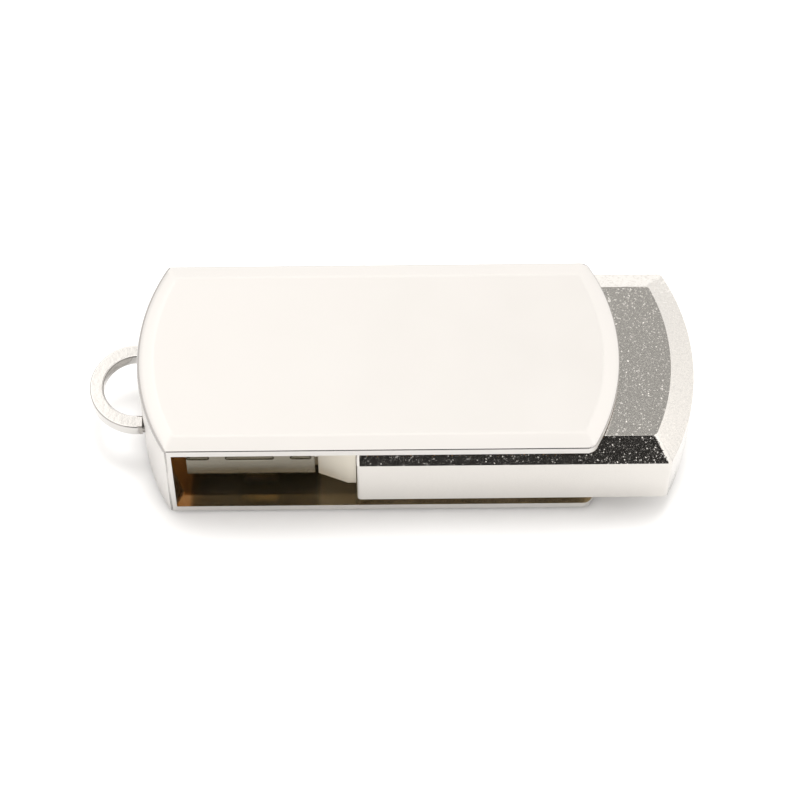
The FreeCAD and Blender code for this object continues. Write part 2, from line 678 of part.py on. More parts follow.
def make_small_parts():
    """Crystal, regulator, capacitors and resistors round the controller."""
    upper_face = "dims.mid_height + dims.board_thickness"
    add_box("crystal_can", "dims.crystal_front", "dims.crystal_side", upper_face,
            "dims.crystal_length", "dims.crystal_width", "dims.crystal_height")
    add_box("voltage_regulator", "dims.crystal_front", "dims.regulator_side", upper_face,
            "dims.regulator_length", "dims.regulator_width", "dims.regulator_height")
    for kind, count in (("capacitor", 6), ("resistor", 5)):
        chips = [box(f"{kind}_{i}", f"dims.{kind}_front", f"dims.{kind}_side + {i} * dims.{kind}_pitch",
                     upper_face, "dims.chip_length", "dims.chip_width", f"dims.{kind}_height")
                 for i in range(count)]
        group(kind + "s", chips)


def make_insulators():
    """Films stuck inside the metal body, above and below the board."""
    length = "dims.insulator_rear - dims.insulator_front"
    wide = "dims.insulator_half_width"
    offset = "dims.cavity_half_height - dims.insulator_gap"
    add_box("upper_insulator", "dims.insulator_front", f"-{wide}",
            f"dims.mid_height + {offset} - dims.insulator_thickness", length, f"2 * {wide}",
            "dims.insulator_thickness")
    add_box("lower_insulator", "dims.insulator_front", f"-{wide}", f"dims.mid_height - ({offset})",
            length, f"2 * {wide}", "dims.insulator_thickness")


make_sleeve()
make_key_loop()
make_pivot_studs()
make_pivot_bushes()
make_body_shell()
make_front_collar()
make_plug_shell()
make_plug_tongue()
make_contacts()
make_board()
make_memory()
make_controller()
make_small_parts()
make_insulators()
doc.recompute()

# ---- Check every object, then write each sub-part ------------------------------------------
for obj in doc.Objects:
    if "Invalid" in obj.State or "Error" in obj.State:
        raise RuntimeError(f"{obj.Name} failed: {obj.State}")
os.makedirs("parts", exist_ok=True)
for part in SUB_PARTS:
    if part.Shape.isNull() or not part.Shape.isValid():
        raise RuntimeError(f"{part.Label} has a bad shape")
for part in SUB_PARTS:
    part.Shape.exportStep(f"parts/{part.Label}.step")
    bounds = part.Shape.BoundBox
    print(f"{part.Label:24s} solids {len(part.Shape.Solids):3d}  volume {part.Shape.Volume:9.2f}"
          f"  x {bounds.XMin:7.2f} {bounds.XMax:7.2f}  y {bounds.YMin:6.2f} {bounds.YMax:6.2f}"
          f"  z {bounds.ZMin:5.2f} {bounds.ZMax:5.2f}")
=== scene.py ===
import bmesh
import bpy
import math
from mathutils import Matrix, Vector


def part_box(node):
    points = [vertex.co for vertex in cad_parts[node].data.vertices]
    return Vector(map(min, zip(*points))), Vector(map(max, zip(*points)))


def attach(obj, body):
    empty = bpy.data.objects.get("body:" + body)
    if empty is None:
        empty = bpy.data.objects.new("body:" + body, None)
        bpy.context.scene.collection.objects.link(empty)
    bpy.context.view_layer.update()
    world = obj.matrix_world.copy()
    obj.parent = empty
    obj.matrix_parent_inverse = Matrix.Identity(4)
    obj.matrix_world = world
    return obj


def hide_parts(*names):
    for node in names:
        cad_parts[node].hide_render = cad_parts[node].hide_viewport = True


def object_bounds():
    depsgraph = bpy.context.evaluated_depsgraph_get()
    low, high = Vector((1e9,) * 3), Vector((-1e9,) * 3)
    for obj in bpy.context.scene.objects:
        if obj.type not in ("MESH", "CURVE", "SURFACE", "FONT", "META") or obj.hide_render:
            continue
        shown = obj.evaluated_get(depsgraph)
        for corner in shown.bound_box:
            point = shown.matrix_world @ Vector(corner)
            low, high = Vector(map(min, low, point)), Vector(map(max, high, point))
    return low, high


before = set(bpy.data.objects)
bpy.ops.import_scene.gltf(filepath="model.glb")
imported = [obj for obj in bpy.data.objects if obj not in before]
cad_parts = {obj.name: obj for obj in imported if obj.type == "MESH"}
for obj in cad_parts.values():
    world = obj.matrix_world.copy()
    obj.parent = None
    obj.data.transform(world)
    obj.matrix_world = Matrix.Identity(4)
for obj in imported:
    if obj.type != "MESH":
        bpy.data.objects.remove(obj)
cad_low, cad_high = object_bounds()


# ---- Table top, studio light and camera ----------------------------------------------------
# The drive lies closed on a sweep of white paper under a soft overhead light. Round cards hang
# behind it, white and grey, and in front, black: plated metal only shows what is round it.
mm = 0.001
scene = bpy.context.scene
# A card is its compass direction, height, half width and soft edge in degrees, and its light.
WHITE_CARD = (92, 60, 22, 10, (1.32, 1.29, 1.255))
GREY_CARD = (76, 60, 9, 3, (0.29, 0.285, 0.272))
HIGH_BLACK_CARD = (270, 56, 18, 6, (0.012, 0.011, 0.010))
LOW_BLACK_CARD = (270, 24, 9, 5, (0.04, 0.037, 0.034))
SKY_STOPS = ((0.0, (0.76, 0.75, 0.74)), (0.9, (1.16, 1.13, 1.10)))
SKY_STRENGTH = 1.55
SWEEP_HALF_WIDTH = 2.0
SWEEP_GAP = 0.02 * mm
PAPER_WHITE = (0.82, 0.82, 0.82)
# Sockets of a Mix node that are set to colours; their names are the same for every data type.
MIX_MASK = 0
MIX_UNDER = 6
MIX_OVER = 7
MIX_RESULT = 2


def node_link(tree, source, output, target, socket):
    tree.links.new(source.outputs[output], target.inputs[socket])


def add_node(tree, kind, **settings):
    """Add a node; a key that names an input sets its value, any other key a property."""
    node = tree.nodes.new(kind)
    for key, setting in settings.items():
        if key in node.inputs:
            node.inputs[key].default_value = setting
        else:
            setattr(node, key, setting)
    return node


def blended(tree, mask, under, over):
    """Mix two colours by a mask. The mask, and a colour that varies, is a (node, output) pair."""
    mix = add_node(tree, "ShaderNodeMix", data_type="RGBA")
    node_link(tree, *mask, mix, MIX_MASK)
    for socket, colour in ((MIX_UNDER, under), (MIX_OVER, over)):
        if isinstance(colour[0], bpy.types.Node):
            node_link(tree, *colour, mix, socket)
        else:
            mix.inputs[socket].default_value = (*colour, 1)
    return mix, MIX_RESULT


def hang_card(tree, card, sky):
    """Lay a round card with a soft edge over the sky, a (node, output) pair; returns the new sky."""
    direction, elevation, spread, softness, radiance = card
    turn = math.radians(direction)
    rise = math.radians(elevation)
    towards = (math.cos(turn) * math.cos(rise), math.sin(turn) * math.cos(rise), math.sin(rise))
    view = add_node(tree, "ShaderNodeTexCoord")
    unit = add_node(tree, "ShaderNodeVectorMath", operation="NORMALIZE")
    node_link(tree, view, "Generated", unit, 0)
    dot = add_node(tree, "ShaderNodeVectorMath", operation="DOT_PRODUCT")
    node_link(tree, unit, "Vector", dot, 0)
    dot.inputs[1].default_value = towards
    inside = add_node(tree, "ShaderNodeMapRange", interpolation_type="SMOOTHSTEP")
    inside.inputs["From Min"].default_value = math.cos(math.radians(spread + softness))
    inside.inputs["From Max"].default_value = math.cos(math.radians(spread))
    node_link(tree, dot, "Value", inside, "Value")
    return blended(tree, (inside, "Result"), sky, radiance)


def build_sky():
    world = bpy.data.worlds.new("studio_sky")
    world.use_nodes = True
    tree = world.node_tree
    background = tree.nodes["Background"]
    view = add_node(tree, "ShaderNodeTexCoord")
    split = add_node(tree, "ShaderNodeSeparateXYZ")
    node_link(tree, view, "Generated", split, 0)
    height = add_node(tree, "ShaderNodeValToRGB")
    for stop, (position, colour) in zip(height.color_ramp.elements, SKY_STOPS):
        stop.position = position
        stop.color = (*colour, 1)
    node_link(tree, split, "Z", height, "Fac")
    sky = (height, "Color")
    for card in (WHITE_CARD, GREY_CARD, HIGH_BLACK_CARD, LOW_BLACK_CARD):
        sky = hang_card(tree, card, sky)
    node_link(tree, *sky, background, "Color")
    background.inputs["Strength"].default_value = SKY_STRENGTH
    scene.world = world


def build_floor():
    bm = bmesh.new()
    bmesh.ops.create_grid(bm, x_segments=1, y_segments=1, size=SWEEP_HALF_WIDTH)
    mesh = bpy.data.meshes.new("sweep")
    bm.to_mesh(mesh)
    bm.free()
    floor = bpy.data.objects.new("sweep", mesh)
    floor.location.z = cad_low.z - SWEEP_GAP
    scene.collection.objects.link(floor)
    paper = bpy.data.materials.new("white_paper")
    paper.use_nodes = True
    shader = paper.node_tree.nodes["Principled BSDF"]
    shader.inputs["Base Color"].default_value = (*PAPER_WHITE, 1)
    shader.inputs["Roughness"].default_value = 0.9
    shader.inputs["Specular IOR Level"].default_value = 0.1
    mesh.materials.append(paper)


def build_camera():
    eye = Vector((-0.582, -116.2, 212.5)) * mm
    forward = Vector((0.00525, 0.48477, -0.8746)).normalized()
    right = Vector((0.99994, -0.01082, 0.0)).normalized()
    up = right.cross(forward)
    lens = bpy.data.cameras.new("studio_camera")
    lens.lens = 148.33
    lens.sensor_width = 36
    lens.clip_start = 0.01
    lens.clip_end = 10
    camera = bpy.data.objects.new("studio_camera", lens)
    turn = Matrix((right, up, -forward)).transposed().to_4x4()
    camera.matrix_world = Matrix.Translation(eye) @ turn
    scene.collection.objects.link(camera)
    scene.camera = camera


def build_lamp(name, place, size, power):
    """Soft box aimed at the drive; it adds shape to the shadow that the even sky gives."""
    light = bpy.data.lights.new(name, "AREA")
    light.shape = "DISK"
    light.size = size
    light.energy = power
    lamp = bpy.data.objects.new(name, light)
    lamp.location = place
    lamp.rotation_euler = (-Vector(place)).to_track_quat("-Z", "Y").to_euler()
    lamp.visible_glossy = False
    scene.collection.objects.link(lamp)


build_sky()
build_floor()
build_camera()
build_lamp("overhead_softbox", place=(0.05, 0.14, 0.80), size=0.30, power=3.4)
scene.view_settings.view_transform = "Standard"


# ---- Swivel sleeve -------------------------------------------------------------------------
# One strip of steel sheet: an embossed plate above, an embossed plate below and the bowed
# end wall that both are folded from. Blanked, pressed, folded, tumbled, then satin nickelled.
SLEEVE_LOW, SLEEVE_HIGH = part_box("swivel_sleeve")
SHEET = 0.7 * mm
END_WALL = 0.34 * mm
EMBOSS = 0.3 * mm
BORDER = 1.15 * mm
PLATE_CORNER = 0.45 * mm
END_BOW = 2.08 * mm
FOLD = 0.34 * mm
INNER_FOLD = 0.5 * mm
TUMBLED = 0.24 * mm
DEBURRED = 0.06 * mm
PANEL_EDGE = 0.14 * mm
ARC_STEPS = 40
NEAR = 0.01 * mm
MERGE = 0.004 * mm
EDGE_BLEND = 0.03
# Painted shade: satin nickel's rounded edges are darkened to this share of its dull colour.
PAINTED_EDGE_SHADE_SCALE = 0.62


def outline_loop(bm, left, right, half_width, height, left_bow=0.0, right_bow=0.0):
    """Wire outline of a plate, its ends straight or bowed outwards; returns its edges."""
    before = set(bm.edges)

    def end(x, y, bow):
        corner = bm.verts.new((x, y, height))
        if not bow:
            far = bm.verts.new((x, -y, height))
            bm.edges.new((corner, far))
            return corner, far
        radius = (bow ** 2 + y ** 2) / (2 * bow)
        inward = -1 if y < 0 else 1
        centre = Vector((x + inward * (radius - bow), 0, height))
        spun = bmesh.ops.spin(bm, geom=[corner], cent=centre, axis=(0, 0, 1),
                              angle=2 * math.asin(half_width / radius), steps=ARC_STEPS)
        return corner, [v for v in spun["geom_last"] if isinstance(v, bmesh.types.BMVert)][0]

    right_start, right_end = end(right, -half_width, right_bow)
    left_start, left_end = end(left, half_width, left_bow)
    bm.edges.new((right_end, left_start))
    bm.edges.new((left_end, right_start))
    return [e for e in bm.edges if e not in before]


def drawn_in(bow, half_width, inset):
    """Shift of the corner and bow of a bowed end once the whole outline is drawn in by inset."""
    radius = (bow ** 2 + half_width ** 2) / (2 * bow)
    reach = math.sqrt((radius - inset) ** 2 - (half_width - inset) ** 2)
    return (radius - bow) - reach, (radius - inset) - reach


def stack_outlines(bm, loops):
    """Close the first and last loop with a face and bridge each loop to the next."""
    bmesh.ops.contextual_create(bm, geom=loops[0])
    bmesh.ops.contextual_create(bm, geom=loops[-1])
    for lower, upper in zip(loops, loops[1:]):
        bmesh.ops.bridge_loops(bm, edges=lower + upper)
    bmesh.ops.recalc_face_normals(bm, faces=bm.faces[:])


def bevel_edges(bm, edges, width, segments=3):
    bmesh.ops.bevel(bm, geom=edges, offset=width, offset_type="OFFSET", affect="EDGES",
                    segments=segments, profile=0.5, material=-1, clamp_overlap=True)


def sharp_edges(bm, degrees):
    limit = math.radians(degrees)
    return [e for e in bm.edges if len(e.link_faces) == 2 and e.calc_face_angle(0) > limit]


def near_all(edge, test):
    return all(test(v.co) for v in edge.verts)


def rises(edge, least):
    return abs(edge.verts[0].co.z - edge.verts[1].co.z) > least


def finish_piece(bm, name, material, body, node):
    """Turn the bmesh into a smooth-shaded piece that stands for its CAD node."""
    bmesh.ops.remove_doubles(bm, verts=bm.verts[:], dist=0.001 * mm)
    bmesh.ops.recalc_face_normals(bm, faces=bm.faces[:])
    mesh = bpy.data.meshes.new(name)
    bm.to_mesh(mesh)
    bm.free()
    mesh.polygons.foreach_set("use_smooth", [True] * len(mesh.polygons))
    mesh.materials.append(material)
    piece = bpy.data.objects.new(name, mesh)
    scene.collection.objects.link(piece)
    weighted = piece.modifiers.new("flat_faces_stay_flat", "WEIGHTED_NORMAL")
    weighted.weight = 100
    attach(piece, body)
    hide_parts(node)
    return piece


def effect_group(name, inputs, outputs):
    """Shader node group with float inputs {name: default}; outputs {name: socket type}."""
    tree = bpy.data.node_groups.new(name, "ShaderNodeTree")
    for label, default in inputs.items():
        socket = tree.interface.new_socket(label, in_out="INPUT", socket_type="NodeSocketFloat")
        socket.default_value = default
    for label, kind in outputs.items():
        tree.interface.new_socket(label, in_out="OUTPUT", socket_type=kind)
    return tree, tree.nodes.new("NodeGroupInput"), tree.nodes.new("NodeGroupOutput")


def rounded_edges_group():
    """Mask of the tumbled edges, found where the surface turns between level and upright."""
    tree, given, out = effect_group(
        "rounded_edges", {"Level": 0.955, "Upright": 0.12, "Break Scale": 900.0, "Breaks": 0.06},
        {"Mask": "NodeSocketFloat"})
    place = add_node(tree, "ShaderNodeTexCoord")
    facing = add_node(tree, "ShaderNodeSeparateXYZ")
    node_link(tree, place, "Normal", facing, "Vector")
    upward = add_node(tree, "ShaderNodeMath", operation="ABSOLUTE")
    node_link(tree, facing, "Z", upward, 0)
    tilted = add_node(tree, "ShaderNodeMapRange", interpolation_type="SMOOTHSTEP")
    lower = add_node(tree, "ShaderNodeMath", operation="SUBTRACT")
    lower.inputs[1].default_value = EDGE_BLEND
    node_link(tree, given, "Level", lower, 0)
    node_link(tree, upward, "Value", tilted, "Value")
    node_link(tree, lower, "Value", tilted, "From Max")
    node_link(tree, given, "Level", tilted, "From Min")
    rising = add_node(tree, "ShaderNodeMath", operation="GREATER_THAN")
    node_link(tree, upward, "Value", rising, 0)
    node_link(tree, given, "Upright", rising, 1)
    breaks = add_node(tree, "ShaderNodeTexNoise", Detail=3.0)
    node_link(tree, place, "Object", breaks, "Vector")
    node_link(tree, given, "Break Scale", breaks, "Scale")
    broken = add_node(tree, "ShaderNodeMath", operation="MULTIPLY")
    node_link(tree, breaks, "Fac", broken, 0)
    node_link(tree, given, "Breaks", broken, 1)
    kept = add_node(tree, "ShaderNodeMath", operation="SUBTRACT")
    kept.inputs[0].default_value = 1.0
    node_link(tree, broken, "Value", kept, 1)
    both = add_node(tree, "ShaderNodeMath", operation="MULTIPLY")
    node_link(tree, tilted, "Result", both, 0)
    node_link(tree, rising, "Value", both, 1)
    product = add_node(tree, "ShaderNodeMath", operation="MULTIPLY")
    node_link(tree, both, "Value", product, 0)
    node_link(tree, kept, "Value", product, 1)
    node_link(tree, product, "Value", out, "Mask")
    return tree


def satin_plate_group():
    """Satin plating: cloudy haze from the bath, a fine orange peel and faint handling scratches."""
    tree, given, out = effect_group(
        "satin_plate", {"Haze Scale": 160.0, "Peel Scale": 2600.0, "Scratch Scale": 8000.0},
        {"Haze": "NodeSocketFloat", "Height": "NodeSocketFloat", "Scratches": "NodeSocketFloat"})
    place = add_node(tree, "ShaderNodeTexCoord")
    haze = add_node(tree, "ShaderNodeTexNoise", Detail=4.0, Roughness=0.55)
    node_link(tree, place, "Object", haze, "Vector")
    node_link(tree, given, "Haze Scale", haze, "Scale")
    peel = add_node(tree, "ShaderNodeTexNoise", Detail=3.0, Roughness=0.6)
    node_link(tree, place, "Object", peel, "Vector")
    node_link(tree, given, "Peel Scale", peel, "Scale")
    turned = add_node(tree, "ShaderNodeMapping")
    turned.inputs["Rotation"].default_value = (0.0, 0.0, 0.05)
    turned.inputs["Scale"].default_value = (0.04, 1.0, 1.0)
    node_link(tree, place, "Object", turned, "Vector")
    lines = add_node(tree, "ShaderNodeTexNoise", Detail=3.0, Roughness=0.7)
    node_link(tree, turned, "Vector", lines, "Vector")
    node_link(tree, given, "Scratch Scale", lines, "Scale")
    patchy = add_node(tree, "ShaderNodeMath", operation="MULTIPLY")
    node_link(tree, lines, "Fac", patchy, 0)
    node_link(tree, haze, "Fac", patchy, 1)
    node_link(tree, haze, "Fac", out, "Haze")
    node_link(tree, peel, "Fac", out, "Height")
    node_link(tree, patchy, "Value", out, "Scratches")
    return tree


ROUNDED_EDGES = rounded_edges_group()
SATIN_PLATE = satin_plate_group()


def use_group(tree, group, **values):
    node = add_node(tree, "ShaderNodeGroup", node_tree=group)
    for label, number in values.items():
        node.inputs[label.replace("_", " ")].default_value = number
    return node


def ranged(tree, source, output, low, high, from_low=0.0, from_high=1.0):
    """Map a value from its own range on to another one."""
    node = add_node(tree, "ShaderNodeMapRange")
    node.inputs["From Min"].default_value = from_low
    node.inputs["From Max"].default_value = from_high
    node.inputs["To Min"].default_value = low
    node.inputs["To Max"].default_value = high
    node_link(tree, source, output, node, "Value")
    return node


def bumped(tree, source, output, strength, distance, under=None):
    """Bump from a height, laid over an earlier bump if one is given."""
    bump = add_node(tree, "ShaderNodeBump", Strength=strength, Distance=distance)
    node_link(tree, source, output, bump, "Height")
    if under:
        node_link(tree, under, "Normal", bump, "Normal")
    return bump


def new_material(name, metallic=0.0):
    material = bpy.data.materials.new(name)
    material.use_nodes = True
    shader = material.node_tree.nodes["Principled BSDF"]
    shader.inputs["Metallic"].default_value = metallic
    return material, material.node_tree, shader


def satin_nickel(name, dull, bright, low_rough, high_rough, peel=0.10, scratch=0.05,
                 haze_scale=160.0, edge_rough=0.07):
    """Nickel over a tumbled surface: hazy in places, smooth along its rounded edges, and darkened there
    with painted shade.
    """
    material, tree, shader = new_material(name, metallic=1.0)
    plate = use_group(tree, SATIN_PLATE, Haze_Scale=haze_scale)
    edges = use_group(tree, ROUNDED_EDGES)
    hazy = blended(tree, (plate, "Haze"), dull, bright)
    # Painted shade: the rounded edges are darkened towards a share of the dull colour.
    edge_painted_shade = blended(tree, (edges, "Mask"), hazy, [PAINTED_EDGE_SHADE_SCALE * c for c in dull])
    node_link(tree, *edge_painted_shade, shader, "Base Color")
    rough = ranged(tree, plate, "Haze", low_rough, high_rough, 0.3, 0.7)
    polished = add_node(tree, "ShaderNodeMix", data_type="FLOAT")
    polished.inputs[3].default_value = edge_rough
    node_link(tree, edges, "Mask", polished, 0)
    node_link(tree, rough, "Result", polished, 2)
    node_link(tree, polished, 0, shader, "Roughness")
    grain = bumped(tree, plate, "Height", peel, 0.02 * mm)
    marks = bumped(tree, plate, "Scratches", scratch, 0.01 * mm, under=grain)
    node_link(tree, marks, "Normal", shader, "Normal")
    return material


def plate_faces(bm):
    """The two large level faces, above and below."""
    return sorted((f for f in bm.faces if abs(f.normal.z) > 0.99), key=lambda f: f.calc_area())[-2:]


def sleeve_skin(depth, wall_depth):
    """One side of the folded sheet, open along both long sides and at the right end."""
    bm = bmesh.new()
    left = SLEEVE_LOW.x + END_BOW + wall_depth
    right = SLEEVE_HIGH.x - END_BOW
    half = SLEEVE_HIGH.y
    shift, panel_bow = drawn_in(END_BOW, half, BORDER)
    low, high = SLEEVE_LOW.z + depth, SLEEVE_HIGH.z - depth
    panel = (left + shift, right - shift, half - BORDER)
    loops = [outline_loop(bm, *panel, low, panel_bow, panel_bow),
             outline_loop(bm, left, right, half, low + EMBOSS, END_BOW, END_BOW),
             outline_loop(bm, left, right, half, high - EMBOSS, END_BOW, END_BOW),
             outline_loop(bm, *panel, high, panel_bow, panel_bow)]
    stack_outlines(bm, loops)
    rim = (low + EMBOSS, high - EMBOSS)
    folds = [e for e in bm.edges if near_all(e, lambda p: p.x < left + NEAR
                                             and min(abs(p.z - z) for z in rim) < NEAR)]
    bevel_edges(bm, folds, FOLD if depth == 0 else INNER_FOLD, segments=5)
    corners = [e for e in bm.edges if near_all(e, lambda p: abs(p.x - right) < NEAR)
               and rises(e, 1 * mm)]
    bevel_edges(bm, corners, PLATE_CORNER, segments=6)
    bmesh.ops.remove_doubles(bm, verts=bm.verts[:], dist=MERGE)
    open_sides = [f for f in bm.faces if abs(f.normal.z) < 0.1
                  and (f.calc_center_median().x > 0 or abs(f.normal.y) > 0.99)]
    bmesh.ops.delete(bm, geom=open_sides, context="FACES")
    rise = [e for face in plate_faces(bm) for e in face.edges]
    bevel_edges(bm, rise, PANEL_EDGE, segments=3)
    return bm


def build_sleeve():
    bm = sleeve_skin(0.0, 0.0)
    inner = sleeve_skin(SHEET, END_WALL)
    bmesh.ops.reverse_faces(inner, faces=inner.faces[:])
    # Painted shade: the inner faces get a darker, browner nickel, and the end wall and the upper plate
    # the darkest.
    for face in inner.faces:
        face.material_index = 2 if face.normal.x > 0.7 or face.normal.z < -0.7 else 1
    outer_rim = [e for e in bm.edges if e.is_boundary]
    spare = bpy.data.meshes.new("inner_skin")
    inner.to_mesh(spare)
    inner.free()
    bm.from_mesh(spare)
    bpy.data.meshes.remove(spare)
    rim = bmesh.ops.bridge_loops(bm, edges=[e for e in bm.edges if e.is_boundary])["faces"]
    for face in rim:
        face.material_index = 0
    bmesh.ops.recalc_face_normals(bm, faces=bm.faces[:])
    bevel_edges(bm, outer_rim, TUMBLED, segments=5)
    bevel_edges(bm, sharp_edges(bm, 50), DEBURRED, segments=3)
    nickel = satin_nickel("sleeve_satin_nickel", (0.618, 0.600, 0.580), (0.642, 0.628, 0.610),
                          0.42, 0.47)
    # Painted shade inside the sleeve: darker brown on the inner faces, darker still on the end wall and
    # upper plate.
    inner_painted_shade = satin_nickel("sleeve_inner_painted_shade", (0.66, 0.575, 0.42), (0.74, 0.65, 0.50),
                              0.20, 0.28)
    wall_painted_shade = satin_nickel("sleeve_wall_painted_shade", (0.36, 0.165, 0.04), (0.44, 0.23, 0.075),
                           0.26, 0.34)
    sleeve = finish_piece(bm, "folded_sleeve", nickel, "sleeve", "swivel_sleeve")
    sleeve.data.materials.append(inner_painted_shade)
    sleeve.data.materials.append(wall_painted_shade)


build_sleeve()


# ---- Key loop ------------------------------------------------------------------------------
# A flat steel band bent to a half round. Its two ends step down to tenons that are pushed
# through holes in the end wall and riveted over inside. Bright nickel.
LOOP_LOW, LOOP_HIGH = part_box("key_loop")
LOOP_RADIUS = LOOP_HIGH.y
LOOP_BAND = 1.0 * mm
LOOP_LEG_END = -17.82 * mm
LOOP_EDGE = 0.10 * mm
LOOP_STEPS = 48
LEVEL_MARGIN = 0.03 * mm
TENON_STEP = 0.13 * mm


def rounded_section(bm, x, y, z, half_width, half_height, radius, segments=4):
    """Rounded rectangle across the X axis, centred on (x, y, z); returns its face."""
    made = bmesh.ops.create_grid(bm, x_segments=1, y_segments=1, size=1.0)
    verts = made["verts"]
    bmesh.ops.rotate(bm, verts=verts, cent=(0, 0, 0), matrix=Matrix.Rotation(math.pi / 2, 3, "Y"))
    bmesh.ops.scale(bm, verts=verts, vec=(1, half_width, half_height))
    bmesh.ops.translate(bm, verts=verts, vec=(x, y, z))
    bmesh.ops.bevel(bm, geom=verts, offset=radius, offset_type="OFFSET", affect="VERTICES",
                    segments=segments, profile=0.5, material=-1)
    return [f for f in bm.faces if abs(f.calc_center_median().x - x) < 1e-7
            and abs(f.calc_center_median().y - y) < 1e-7][0]


def pull_face(bm, face, move, scale=(1, 1, 1)):
    """Extrude a face, move the new one, scale it about its centre, and return it."""
    spare = [face] if any(len(e.link_faces) > 1 for e in face.edges) else []
    pulled = bmesh.ops.extrude_face_region(bm, geom=[face])["geom"]
    bmesh.ops.delete(bm, geom=spare, context="FACES_ONLY")
    verts = [g for g in pulled if isinstance(g, bmesh.types.BMVert)]
    bmesh.ops.translate(bm, verts=verts, vec=move)
    new_face = [g for g in pulled if isinstance(g, bmesh.types.BMFace)][0]
    if scale != (1, 1, 1):
        centre = new_face.calc_center_bounds()
        bmesh.ops.scale(bm, verts=verts, vec=scale, space=Matrix.Translation(-centre))
    return new_face


def build_key_loop():
    bm = bmesh.new()
    middle_z = (LOOP_LOW.z + LOOP_HIGH.z) / 2
    radius = LOOP_RADIUS - LOOP_BAND / 2
    centre_x = LOOP_LOW.x + LOOP_RADIUS
    start = rounded_section(bm, LOOP_LEG_END, radius, middle_z, LOOP_BAND / 2,
                            (LOOP_HIGH.z - LOOP_LOW.z) / 2, LOOP_EDGE)
    bend = pull_face(bm, start, (centre_x - LOOP_LEG_END, 0, 0))
    spun = bmesh.ops.spin(bm, geom=[bend, *bend.edges, *bend.verts], cent=(centre_x, 0, middle_z),
                          axis=(0, 0, 1), angle=math.pi, steps=LOOP_STEPS)
    last = [g for g in spun["geom_last"] if isinstance(g, bmesh.types.BMFace)][0]
    pull_face(bm, last, (LOOP_LEG_END - centre_x, 0, 0))
    bmesh.ops.recalc_face_normals(bm, faces=bm.faces[:])
    level = [f for f in bm.faces if abs(f.normal.z) > 0.99]
    bmesh.ops.inset_region(bm, faces=level, thickness=LEVEL_MARGIN, use_even_offset=True)
    ends = [f for f in bm.faces if f.normal.x > 0.9
            and abs(f.calc_center_median().x - LOOP_LEG_END) < 1e-7]
    for end in ends:
        bmesh.ops.inset_region(bm, faces=[end], thickness=TENON_STEP)
        pull_face(bm, end, (LOOP_HIGH.x - LOOP_LEG_END, 0, 0))
    nickel = satin_nickel("loop_bright_nickel", (0.565, 0.55, 0.53), (0.625, 0.61, 0.59),
                          0.10, 0.18, peel=0.2)
    finish_piece(bm, "band_key_loop", nickel, "sleeve", "key_loop")


build_key_loop()


# ---- Drive body ----------------------------------------------------------------------------
# A hollow zinc casting with wide bevels round three sides and a flat open front. It is
# plated bright nickel straight over the fine grain of the casting, so flat faces glitter.
BODY_LOW, BODY_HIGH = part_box("body_shell")
BODY_MIDDLE = (BODY_LOW.z + BODY_HIGH.z) / 2
SIDE_HALF_HEIGHT = 2.52 * mm
BODY_BEVEL = 1.7 * mm
REAR_BOW = 1.97 * mm
REAR_CORNER = 0.4 * mm
FRONT_ROUND = 0.3 * mm
CAST_WALL = 0.95 * mm
CAVITY_REAR = 18.9 * mm
CAST_EDGE = 0.13 * mm
LARGE_FACE = 50 * mm * mm
GRAIN_CONTRAST = 16.0
TOP_TILT = 0.165
EDGE_TILT = 0.05
BEVEL_TILT = 0.33


def cast_grain_group():
    """Grain of a plated casting: small facets, few of them steeply tilted, over fine pits."""
    tree, given, out = effect_group(
        "cast_grain", {"Grain Scale": 12000.0, "Pit Scale": 15000.0, "Tilt": 0.8},
        {"Facets": "NodeSocketVector", "Height": "NodeSocketFloat", "Shade": "NodeSocketFloat"})
    place = add_node(tree, "ShaderNodeTexCoord")
    cells = add_node(tree, "ShaderNodeTexVoronoi", feature="F1")
    node_link(tree, place, "Object", cells, "Vector")
    node_link(tree, given, "Grain Scale", cells, "Scale")
    centred = add_node(tree, "ShaderNodeVectorMath", operation="SUBTRACT")
    centred.inputs[1].default_value = (0.5, 0.5, 0.5)
    node_link(tree, cells, "Color", centred, 0)
    squared = add_node(tree, "ShaderNodeVectorMath", operation="MULTIPLY")
    node_link(tree, centred, "Vector", squared, 0)
    node_link(tree, centred, "Vector", squared, 1)
    fourth = add_node(tree, "ShaderNodeVectorMath", operation="MULTIPLY")
    node_link(tree, squared, "Vector", fourth, 0)
    node_link(tree, squared, "Vector", fourth, 1)
    rare = add_node(tree, "ShaderNodeVectorMath", operation="MULTIPLY")
    node_link(tree, fourth, "Vector", rare, 0)
    node_link(tree, centred, "Vector", rare, 1)
    leaned = add_node(tree, "ShaderNodeVectorMath", operation="SCALE")
    node_link(tree, rare, "Vector", leaned, 0)
    steeper = add_node(tree, "ShaderNodeMath", operation="MULTIPLY")
    steeper.inputs[1].default_value = GRAIN_CONTRAST
    node_link(tree, given, "Tilt", steeper, 0)
    node_link(tree, steeper, "Value", leaned, "Scale")
    shape = add_node(tree, "ShaderNodeNewGeometry")
    added = add_node(tree, "ShaderNodeVectorMath", operation="ADD")
    node_link(tree, shape, "Normal", added, 0)
    node_link(tree, leaned, "Vector", added, 1)
    unit = add_node(tree, "ShaderNodeVectorMath", operation="NORMALIZE")
    node_link(tree, added, "Vector", unit, 0)
    pits = add_node(tree, "ShaderNodeTexNoise", Detail=3.0, Roughness=0.7)
    node_link(tree, place, "Object", pits, "Vector")
    node_link(tree, given, "Pit Scale", pits, "Scale")
    node_link(tree, unit, "Vector", out, "Facets")
    node_link(tree, pits, "Fac", out, "Height")
    node_link(tree, cells, "Distance", out, "Shade")
    return tree


CAST_GRAIN = cast_grain_group()


